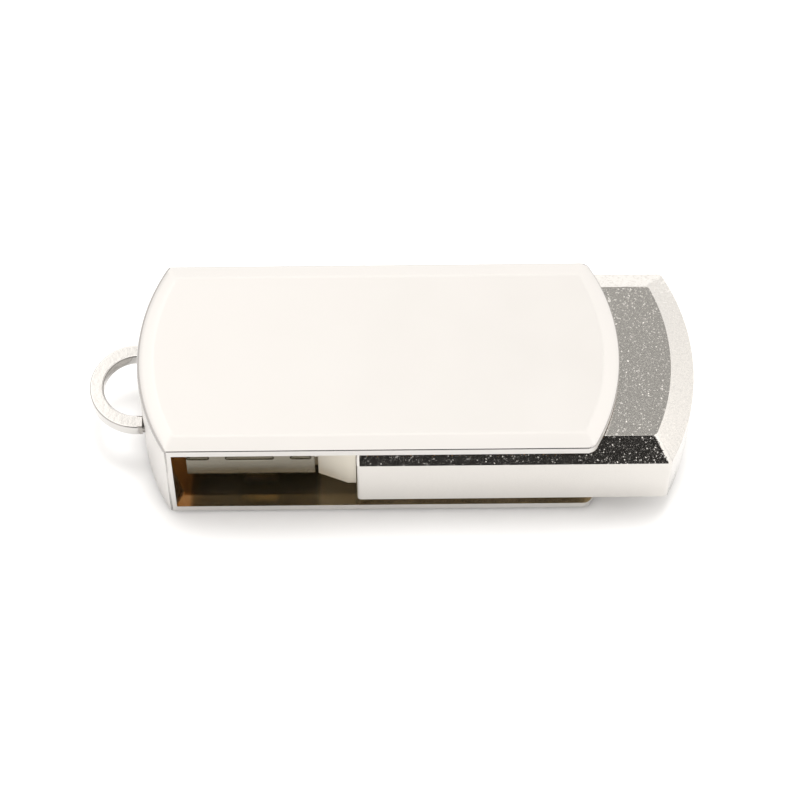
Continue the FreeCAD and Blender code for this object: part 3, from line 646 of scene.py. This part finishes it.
def cast_nickel(name):
    """Bright nickel on the casting: coarse on the bevels, finer on top, smooth at the sides."""
    material, tree, shader = new_material(name, metallic=1.0)
    place = add_node(tree, "ShaderNodeTexCoord")
    facing = add_node(tree, "ShaderNodeSeparateXYZ")
    node_link(tree, place, "Normal", facing, "Vector")
    upward = add_node(tree, "ShaderNodeMath", operation="ABSOLUTE")
    node_link(tree, facing, "Z", upward, 0)
    # How far the facets tilt, from an upright surface at 0 to a level one at 1.
    tilt = add_node(tree, "ShaderNodeFloatCurve")
    curve = tilt.mapping.curves[0]
    for point, (at, height) in zip(curve.points, ((0.0, 0.01), (1.0, TOP_TILT))):
        point.location = (at, height)
    for at, height in ((0.78, 0.02), (0.82, BEVEL_TILT), (0.87, BEVEL_TILT), (0.90, EDGE_TILT),
                       (0.985, EDGE_TILT), (0.995, TOP_TILT)):
        curve.points.new(at, height)
    tilt.mapping.update()
    node_link(tree, upward, "Value", tilt, "Value")
    grain = use_group(tree, CAST_GRAIN)
    node_link(tree, tilt, "Value", grain, "Tilt")
    colour = blended(tree, (grain, "Shade"), (0.67, 0.65, 0.62), (0.59, 0.57, 0.54))
    node_link(tree, *colour, shader, "Base Color")
    rough = ranged(tree, grain, "Height", 0.10, 0.22, 0.3, 0.7)
    node_link(tree, rough, "Result", shader, "Roughness")
    depth = add_node(tree, "ShaderNodeMath", operation="MULTIPLY")
    node_link(tree, grain, "Height", depth, 0)
    node_link(tree, tilt, "Value", depth, 1)
    skin = bumped(tree, depth, "Value", 0.3, 0.01 * mm)
    node_link(tree, grain, "Facets", skin, "Normal")
    node_link(tree, skin, "Normal", shader, "Normal")
    return material


def front_face(bm):
    """The largest face that looks towards the plug."""
    return max((f for f in bm.faces if f.normal.x < -0.99), key=lambda f: f.calc_area())


def level_faces(bm, least_area):
    """Set every vertex of a large level face to one exact height, so that slivers shade flat."""
    for face in bm.faces:
        if abs(face.normal.z) > 0.99 and face.calc_area() > least_area:
            height = face.calc_center_median().z
            for vert in face.verts:
                vert.co.z = height


def build_body():
    bm = bmesh.new()
    front, rear, half = BODY_LOW.x, BODY_HIGH.x - REAR_BOW, BODY_HIGH.y
    shift, flat_bow = drawn_in(REAR_BOW, half, BODY_BEVEL)
    flat = (front, rear - shift, half - BODY_BEVEL)
    loops = [outline_loop(bm, *flat, BODY_LOW.z, 0.0, flat_bow),
             outline_loop(bm, front, rear, half, BODY_MIDDLE - SIDE_HALF_HEIGHT, 0.0, REAR_BOW),
             outline_loop(bm, front, rear, half, BODY_MIDDLE + SIDE_HALF_HEIGHT, 0.0, REAR_BOW),
             outline_loop(bm, *flat, BODY_HIGH.z, 0.0, flat_bow)]
    stack_outlines(bm, loops)
    at_front = [f for f in bm.faces if f.normal.x < -0.99]
    bmesh.ops.dissolve_faces(bm, faces=at_front, use_verts=True)
    corners = [e for e in bm.edges if near_all(e, lambda p: p.x > rear - shift - NEAR
                                               and abs(p.y) > half - BODY_BEVEL - NEAR)
               and rises(e, 0.5 * mm)]
    bevel_edges(bm, corners, REAR_CORNER, segments=5)
    bmesh.ops.remove_doubles(bm, verts=bm.verts[:], dist=MERGE)
    bevel_edges(bm, front_face(bm).edges[:], FRONT_ROUND, segments=5)
    face = front_face(bm)
    bmesh.ops.inset_region(bm, faces=[face], thickness=CAST_WALL - FRONT_ROUND,
                           use_even_offset=True)
    pull_face(bm, face, (CAVITY_REAR - front, 0, 0))
    bevel_edges(bm, sharp_edges(bm, 22), CAST_EDGE, segments=3)
    level_faces(bm, LARGE_FACE)
    nickel = cast_nickel("body_bright_nickel")
    finish_piece(bm, "cast_body", nickel, "drive", "body_shell")


build_body()


# ---- Front collar --------------------------------------------------------------------------
# A satin nickelled ring pressed into the body's mouth. It flares from the plug's width to
# the mouth's, and its bore takes the narrow tail of the plug's shell.
COLLAR_LOW, COLLAR_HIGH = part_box("front_collar")
COLLAR_SHOULDER = -3.13 * mm
COLLAR_FRONT_HALF = (5.85 * mm, 2.42 * mm)
COLLAR_WALL = 0.33 * mm
COLLAR_ROUND = 0.4 * mm
COLLAR_EDGE = 0.07 * mm
MOUTH_DEPTH = 0.3 * mm
PRESS_STEP = 0.18 * mm


def build_collar():
    bm = bmesh.new()
    wide, tall = COLLAR_HIGH.y, COLLAR_HIGH.z - BODY_MIDDLE
    front_wide, front_tall = COLLAR_FRONT_HALF
    face = rounded_section(bm, COLLAR_LOW.x, 0, BODY_MIDDLE, front_wide, front_tall, COLLAR_ROUND)
    flare = (1, wide / front_wide, tall / front_tall)
    rear = pull_face(bm, face, (COLLAR_SHOULDER - COLLAR_LOW.x, 0, 0), flare)
    rear = pull_face(bm, rear, (BODY_LOW.x + MOUTH_DEPTH - COLLAR_SHOULDER, 0, 0))
    rear = pull_face(bm, rear, (0, 0, 0), (1, 1 + PRESS_STEP / wide, 1 + PRESS_STEP / tall))
    pull_face(bm, rear, (COLLAR_HIGH.x - BODY_LOW.x - MOUTH_DEPTH, 0, 0))
    bmesh.ops.recalc_face_normals(bm, faces=bm.faces[:])
    face = min(bm.faces, key=lambda f: f.calc_center_median().x)
    bmesh.ops.inset_region(bm, faces=[face], thickness=COLLAR_WALL)
    pull_face(bm, face, (COLLAR_HIGH.x - COLLAR_LOW.x, 0, 0))
    at_rear = [f for f in bm.faces if f.calc_center_median().x > COLLAR_HIGH.x - NEAR]
    bmesh.ops.delete(bm, geom=at_rear, context="FACES")
    bmesh.ops.bridge_loops(bm, edges=[e for e in bm.edges if e.is_boundary])
    bmesh.ops.recalc_face_normals(bm, faces=bm.faces[:])
    bevel_edges(bm, sharp_edges(bm, 50), COLLAR_EDGE, segments=3)
    nickel = satin_nickel("collar_satin_nickel", (0.66, 0.62, 0.535), (0.73, 0.69, 0.605),
                          0.36, 0.46, peel=0.2)
    finish_piece(bm, "flared_collar", nickel, "drive", "front_collar")


build_collar()


# ---- Plug shell ----------------------------------------------------------------------------
# Steel sheet folded round to a tube, its seam along the top. Latch windows are punched above
# and below, and a row of slots in each side grips the moulded tongue. It steps in at the rear.
PLUG_LOW, PLUG_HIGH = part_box("plug_shell")
PLUG_STEP = -5.48 * mm
PLUG_SHEET = 0.3 * mm
PLUG_TAIL_HALF = (5.5 * mm, 1.95 * mm)
SLOT_HEIGHTS = (5.1 * mm, 5.65 * mm)
SLOTS = ((-15.0 * mm, -12.98 * mm), (-11.85 * mm, -8.37 * mm), (-7.22 * mm, -5.7 * mm))
WINDOW_LENGTHS = (-10.7 * mm, -8.37 * mm)
WINDOW_WIDTHS = (1.9 * mm, 4.3 * mm)
SEAM_HALF_WIDTH = 0.04 * mm
HOLE_MARGIN = 0.22 * mm
HOLE_CORNER = 0.2 * mm
PLUG_ROUND = 0.6 * mm
PLUG_EDGE = 0.08 * mm


def cut_across(bm, place, normal):
    bmesh.ops.bisect_plane(bm, geom=bm.verts[:] + bm.edges[:] + bm.faces[:], dist=1e-8,
                           plane_co=place, plane_no=normal)


def is_between(number, limits):
    return limits[0] < number < limits[1]


def patches_of(faces):
    """Sort faces into patches that hang together."""
    left = list(faces)
    patches = []
    while left:
        patch = [left.pop()]
        for face in patch:
            joined = [f for e in face.edges for f in e.link_faces if f in left]
            for other in set(joined):
                left.remove(other)
                patch.append(other)
        patches.append(patch)
    return patches


def widened(limits):
    """Limits of the patch that a hole is cut from: the hole and a margin all round."""
    return limits[0] - HOLE_MARGIN, limits[1] + HOLE_MARGIN


def punch_hole(bm, patch):
    """Cut a hole with rounded corners out of a patch of faces, a margin smaller all round."""
    hole = patch[0]
    if len(patch) > 1:
        hole = bmesh.ops.dissolve_faces(bm, faces=patch, use_verts=True)["region"][0]
    bmesh.ops.inset_region(bm, faces=[hole], thickness=HOLE_MARGIN, use_even_offset=True)
    middle = hole.calc_center_bounds()
    turns = [loop.vert for loop in hole.loops if loop.calc_angle() < math.radians(135)]
    bmesh.ops.bevel(bm, geom=turns, offset=HOLE_CORNER, offset_type="OFFSET", segments=4,
                    affect="VERTICES", profile=0.5, material=-1)
    hole = min(bm.faces, key=lambda f: (f.calc_center_bounds() - middle).length)
    bmesh.ops.delete(bm, geom=[hole], context="FACES")


def build_plug_shell():
    bm = bmesh.new()
    middle = (PLUG_LOW.z + PLUG_HIGH.z) / 2
    wide, tall = PLUG_HIGH.y, PLUG_HIGH.z - middle
    tail_wide, tail_tall = PLUG_TAIL_HALF
    face = rounded_section(bm, PLUG_LOW.x, 0, middle, wide, tall, PLUG_ROUND, segments=6)
    face = pull_face(bm, face, (PLUG_STEP - PLUG_LOW.x, 0, 0))
    face = pull_face(bm, face, (0, 0, 0), (1, tail_wide / wide, tail_tall / tall))
    pull_face(bm, face, (PLUG_HIGH.x - PLUG_STEP, 0, 0))
    bmesh.ops.recalc_face_normals(bm, faces=bm.faces[:])
    ends = [f for f in bm.faces if abs(f.normal.x) > 0.9
            and abs(f.calc_center_median().x - PLUG_STEP) > NEAR]
    bmesh.ops.delete(bm, geom=ends, context="FACES")
    slots = [widened(slot) for slot in SLOTS]
    rows = widened(SLOT_HEIGHTS)
    lengths = widened(WINDOW_LENGTHS)
    widths = widened(WINDOW_WIDTHS)
    for x in [x for slot in slots for x in slot] + list(lengths):
        cut_across(bm, (x, 0, 0), (1, 0, 0))
    for y in [side * y for y in (*widths, SEAM_HALF_WIDTH) for side in (-1, 1)]:
        cut_across(bm, (0, y, 0), (0, 1, 0))
    for z in rows:
        cut_across(bm, (0, 0, z), (0, 0, 1))

    def is_hole(face):
        centre = face.calc_center_median()
        in_slot = (abs(face.normal.y) > 0.9 and abs(centre.y) > tail_wide + NEAR
                   and is_between(centre.z, rows)
                   and any(is_between(centre.x, slot) for slot in slots))
        in_window = (abs(face.normal.z) > 0.9 and is_between(centre.x, lengths)
                     and is_between(abs(centre.y), widths))
        return in_slot or in_window

    seam = [f for f in bm.faces if f.normal.z > 0.9 and f.calc_center_median().x < PLUG_STEP
            and abs(f.calc_center_median().y) < SEAM_HALF_WIDTH]
    bmesh.ops.delete(bm, geom=seam, context="FACES")
    for patch in patches_of(f for f in bm.faces if is_hole(f)):
        punch_hole(bm, patch)
    bmesh.ops.remove_doubles(bm, verts=bm.verts[:], dist=MERGE)
    bmesh.ops.dissolve_degenerate(bm, edges=bm.edges[:], dist=MERGE)
    bmesh.ops.solidify(bm, geom=bm.faces[:], thickness=PLUG_SHEET)
    bmesh.ops.recalc_face_normals(bm, faces=bm.faces[:])
    bevel_edges(bm, sharp_edges(bm, 60), PLUG_EDGE, segments=3)
    # Painted shade: the shell's steel is set dark because it lies in the shade inside the sleeve.
    steel = satin_nickel("plug_steel_painted_shade", (0.245, 0.225, 0.175), (0.33, 0.305, 0.245), 0.18, 0.28,
                         peel=0.12, scratch=0.15, haze_scale=260.0, edge_rough=0.08)
    finish_piece(bm, "folded_plug_shell", steel, "drive", "plug_shell")


build_plug_shell()


# ---- Pivot studs and bushes ----------------------------------------------------------------
# A steel stud is welded inside each plate. It turns in a flanged acetal bush, snapped into the
# body's wall, whose flange keeps the plate off the plating and gives the swivel its drag.
STUD_NODES = ("lower_pivot_stud", "upper_pivot_stud")
BUSH_NODES = ("lower_pivot_bush", "upper_pivot_bush")
BUSH_FLANGE = 0.4 * mm
BUSH_NECK_RADIUS = 2.1 * mm
STUD_EDGE = 0.12 * mm
BUSH_EDGE = 0.06 * mm


def turned_disc(bm, centre, low, high, radius):
    """Short upright cylinder between two heights."""
    place = Matrix.Translation((centre.x, centre.y, (low + high) / 2))
    bmesh.ops.create_cone(bm, cap_ends=True, segments=64, radius1=radius, radius2=radius,
                          depth=high - low, matrix=place)


def grain_group():
    """Fine grain of a moulded, rolled or printed surface, with faint large-scale mottle."""
    tree, given, out = effect_group("fine_grain", {"Grain Scale": 4000.0, "Mottle Scale": 500.0},
                                    {"Grain": "NodeSocketFloat", "Mottle": "NodeSocketFloat"})
    place = add_node(tree, "ShaderNodeTexCoord")
    for scale, label, detail in (("Grain Scale", "Grain", 4.0), ("Mottle Scale", "Mottle", 2.0)):
        noise = add_node(tree, "ShaderNodeTexNoise", Detail=detail, Roughness=0.6)
        node_link(tree, place, "Object", noise, "Vector")
        node_link(tree, given, scale, noise, "Scale")
        node_link(tree, noise, "Fac", out, label)
    return tree


FINE_GRAIN = grain_group()


def grained(name, dark, light, smooth, rough, metallic=0.0, bump=0.15):
    """Plain finish with its grain in colour, gloss and relief, and handled edges a little worn."""
    material, tree, shader = new_material(name, metallic)
    grain = use_group(tree, FINE_GRAIN)
    edges = use_group(tree, ROUNDED_EDGES, Breaks=0.9)
    mottled = blended(tree, (grain, "Mottle"), dark, light)
    rubbed = ranged(tree, edges, "Mask", 0.0, 0.5)
    paler = [min(1.0, 1.25 * c) for c in light]
    handled = blended(tree, (rubbed, "Result"), mottled, paler)
    node_link(tree, *handled, shader, "Base Color")
    gloss = ranged(tree, grain, "Grain", smooth, rough, 0.3, 0.7)
    node_link(tree, gloss, "Result", shader, "Roughness")
    relief = bumped(tree, grain, "Grain", bump, 0.02 * mm)
    node_link(tree, relief, "Normal", shader, "Normal")
    return material


def build_pivot():
    steel = satin_nickel("stud_ground_steel", (0.50, 0.49, 0.47), (0.58, 0.57, 0.55), 0.20, 0.34)
    acetal = grained("bush_black_acetal", (0.018, 0.018, 0.020), (0.030, 0.030, 0.033), 0.35, 0.50)
    for node in STUD_NODES:
        low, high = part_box(node)
        bm = bmesh.new()
        turned_disc(bm, (low + high) / 2, low.z, high.z, (high.x - low.x) / 2)
        bevel_edges(bm, sharp_edges(bm, 60), STUD_EDGE)
        finish_piece(bm, node + "_turned", steel, "sleeve", node)
    for node in BUSH_NODES:
        low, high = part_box(node)
        facing = 1 if low.z < BODY_MIDDLE else -1
        flange = (low.z, low.z + BUSH_FLANGE) if facing > 0 else (high.z - BUSH_FLANGE, high.z)
        bm = bmesh.new()
        turned_disc(bm, (low + high) / 2, *flange, (high.x - low.x) / 2)
        inner = max((f for f in bm.faces if f.normal.z * facing > 0.9), key=lambda f: f.calc_area())
        bmesh.ops.inset_region(bm, faces=[inner], thickness=(high.x - low.x) / 2 - BUSH_NECK_RADIUS)
        pull_face(bm, inner, (0, 0, facing * (high.z - low.z - BUSH_FLANGE)))
        bevel_edges(bm, sharp_edges(bm, 60), BUSH_EDGE)
        finish_piece(bm, node + "_moulded", acetal, "drive", node)


build_pivot()


# ---- Tongue and contacts -------------------------------------------------------------------
# The moulded nylon tongue fills the upper half of the plug. Four stamped, gold plated blades
# lie in its underside; the outer two reach further forward, so power makes contact first.
CONTACT_NODES = ("contact_power", "contact_data_minus", "contact_data_plus", "contact_ground")
TONGUE_EDGE = 0.12 * mm
BLADE_EDGE = 0.05 * mm


def dress(material, *nodes):
    """Give CAD nodes that keep their own shape a finished material."""
    for node in nodes:
        for slot in bpy.data.objects[node].material_slots:
            slot.material = material


def box_piece(name, material, node, edge):
    """Piece of the drive with a CAD node's own box and small rounded edges, standing for it."""
    low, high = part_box(node)
    bm = bmesh.new()
    made = bmesh.ops.create_cube(bm, size=1.0)
    bmesh.ops.scale(bm, verts=made["verts"], vec=high - low)
    bmesh.ops.translate(bm, verts=made["verts"], vec=(low + high) / 2)
    bevel_edges(bm, bm.edges[:], edge)
    finish_piece(bm, name, material, "drive", node)


def gold_contact():
    """Gold over nickel, with the bright tracks that sockets rub along the blades."""
    material, tree, shader = new_material("contact_plated_gold", metallic=1.0)
    place = add_node(tree, "ShaderNodeTexCoord")
    along = add_node(tree, "ShaderNodeMapping")
    along.inputs["Scale"].default_value = (0.06, 1.0, 1.0)
    node_link(tree, place, "Object", along, "Vector")
    tracks = add_node(tree, "ShaderNodeTexNoise", Scale=9000.0, Detail=4.0, Roughness=0.7)
    node_link(tree, along, "Vector", tracks, "Vector")
    colour = blended(tree, (tracks, "Fac"), (0.86, 0.60, 0.25), (1.0, 0.78, 0.40))
    node_link(tree, *colour, shader, "Base Color")
    rough = ranged(tree, tracks, "Fac", 0.34, 0.14, 0.3, 0.7)
    node_link(tree, rough, "Result", shader, "Roughness")
    relief = bumped(tree, tracks, "Fac", 0.2, 0.01 * mm)
    node_link(tree, relief, "Normal", shader, "Normal")
    return material


nylon = grained("tongue_ivory_nylon", (0.70, 0.68, 0.63), (0.78, 0.76, 0.71), 0.38, 0.52, bump=0.1)
box_piece("moulded_tongue", nylon, "plug_tongue", TONGUE_EDGE)
gold = gold_contact()
for contact in CONTACT_NODES:
    box_piece(contact + "_blade", gold, contact, BLADE_EDGE)


# ---- Circuit board and its parts -----------------------------------------------------------
# A two-sided board with a solder-mask coat: controller, crystal, regulator and chip parts
# above, the memory below on its solder balls. Every part is reflow soldered in place.
BOARD_EDGE = 0.05 * mm
CHIP_EDGE = 0.08 * mm
CAN_EDGE = 0.3 * mm


def board_laminate():
    """Green mask over glass cloth, whose weave shows through as a faint woven relief."""
    material, tree, shader = new_material("board_green_mask")
    place = add_node(tree, "ShaderNodeTexCoord")
    weave = []
    for direction in ("X", "Y"):
        wave = add_node(tree, "ShaderNodeTexWave", bands_direction=direction, Scale=620.0,
                        Distortion=0.6)
        node_link(tree, place, "Object", wave, "Vector")
        weave.append(wave)
    cloth = add_node(tree, "ShaderNodeMath", operation="MULTIPLY")
    node_link(tree, weave[0], "Fac", cloth, 0)
    node_link(tree, weave[1], "Fac", cloth, 1)
    colour = blended(tree, (cloth, "Value"), (0.008, 0.085, 0.032), (0.018, 0.15, 0.055))
    node_link(tree, *colour, shader, "Base Color")
    rough = ranged(tree, cloth, "Value", 0.22, 0.36)
    node_link(tree, rough, "Result", shader, "Roughness")
    relief = bumped(tree, cloth, "Value", 0.15, 0.02 * mm)
    node_link(tree, relief, "Normal", shader, "Normal")
    return material


resin = grained("chip_black_resin", (0.016, 0.016, 0.017), (0.026, 0.026, 0.028), 0.45, 0.65, bump=0.3)
tin = grained("solder_dull_tin", (0.52, 0.52, 0.53), (0.66, 0.66, 0.67), 0.25, 0.45, metallic=1.0)
can = grained("can_brushed_steel", (0.56, 0.55, 0.53), (0.66, 0.65, 0.63), 0.22, 0.34, metallic=1.0)
box_piece("laminate_board", board_laminate(), "circuit_board", BOARD_EDGE)
for node in ("memory_chip", "controller_chip", "voltage_regulator"):
    box_piece(node + "_moulded", resin, node, CHIP_EDGE)
box_piece("drawn_crystal_can", can, "crystal_can", CAN_EDGE)
dress(tin, "memory_solder_balls", "controller_leads", "contact_solder_joints")
dress(grained("capacitor_tan_ceramic", (0.40, 0.27, 0.16), (0.50, 0.35, 0.22), 0.4, 0.55), "capacitors")
dress(grained("resistor_black_glaze", (0.02, 0.02, 0.024), (0.05, 0.05, 0.056), 0.2, 0.35), "resistors")


# ---- Insulating films ----------------------------------------------------------------------
# Amber polyimide film, stuck inside the body above and below the board, so that nothing
# soldered can touch the casting.
film = grained("insulator_amber_film", (0.42, 0.19, 0.03), (0.52, 0.26, 0.05), 0.18, 0.30, bump=0.1)
dress(film, "upper_insulator", "lower_insulator")
